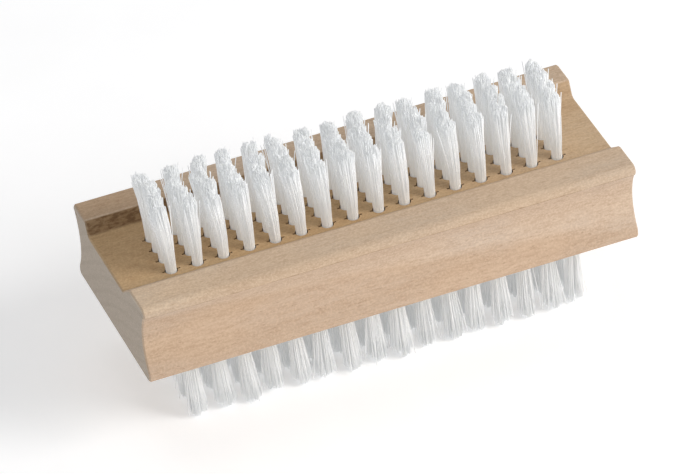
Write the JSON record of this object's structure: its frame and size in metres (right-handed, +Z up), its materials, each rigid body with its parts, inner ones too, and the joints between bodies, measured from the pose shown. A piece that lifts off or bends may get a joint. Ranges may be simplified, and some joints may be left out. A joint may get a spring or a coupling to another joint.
{
  "type": "double-sided nail brush",
  "caption": "Double-sided wooden nail brush: channelled block with grooved sides and anchor-set nylon bristle tufts on both faces.",
  "frame": {"origin": "middle of the plane that the lower bristle tips rest on", "axes": "+X along the block, +Y across it, +Z up, out of the channelled face"},
  "size_m": [0.095, 0.036, 0.0442],
  "materials": {
    "wood": "unvarnished, planed",
    "bristle": "translucent white nylon filament",
    "anchor_wire": "flat drawn wire"
  },
  "bodies": {
    "root": {"handle_block": "wood", "upper_tufts_column_01": "bristle", "upper_tufts_column_02": "bristle", "upper_tufts_column_03": "bristle", "upper_tufts_column_04": "bristle", "upper_tufts_column_05": "bristle", "upper_tufts_column_06": "bristle", "upper_tufts_column_07": "bristle", "upper_tufts_column_08": "bristle", "upper_tufts_column_09": "bristle", "upper_tufts_column_10": "bristle", "upper_tufts_column_11": "bristle", "upper_tufts_column_12": "bristle", "upper_tufts_column_13": "bristle", "upper_tufts_column_14": "bristle", "upper_tufts_column_15": "bristle", "upper_tufts_column_16": "bristle", "lower_tufts_column_01": "bristle", "lower_tufts_column_02": "bristle", "lower_tufts_column_03": "bristle", "lower_tufts_column_04": "bristle", "lower_tufts_column_05": "bristle", "lower_tufts_column_06": "bristle", "lower_tufts_column_07": "bristle", "lower_tufts_column_08": "bristle", "lower_tufts_column_09": "bristle", "lower_tufts_column_10": "bristle", "lower_tufts_column_11": "bristle", "lower_tufts_column_12": "bristle", "lower_tufts_column_13": "bristle", "lower_tufts_column_14": "bristle", "lower_tufts_column_15": "bristle", "lower_tufts_column_16": "bristle", "upper_anchors_row_1": "anchor_wire", "upper_anchors_row_2": "anchor_wire", "upper_anchors_row_3": "anchor_wire", "upper_anchors_row_4": "anchor_wire", "lower_anchors_row_1": "anchor_wire", "lower_anchors_row_2": "anchor_wire", "lower_anchors_row_3": "anchor_wire", "lower_anchors_row_4": "anchor_wire", "lower_anchors_row_5": "anchor_wire"}
  },
  "joints": []
}
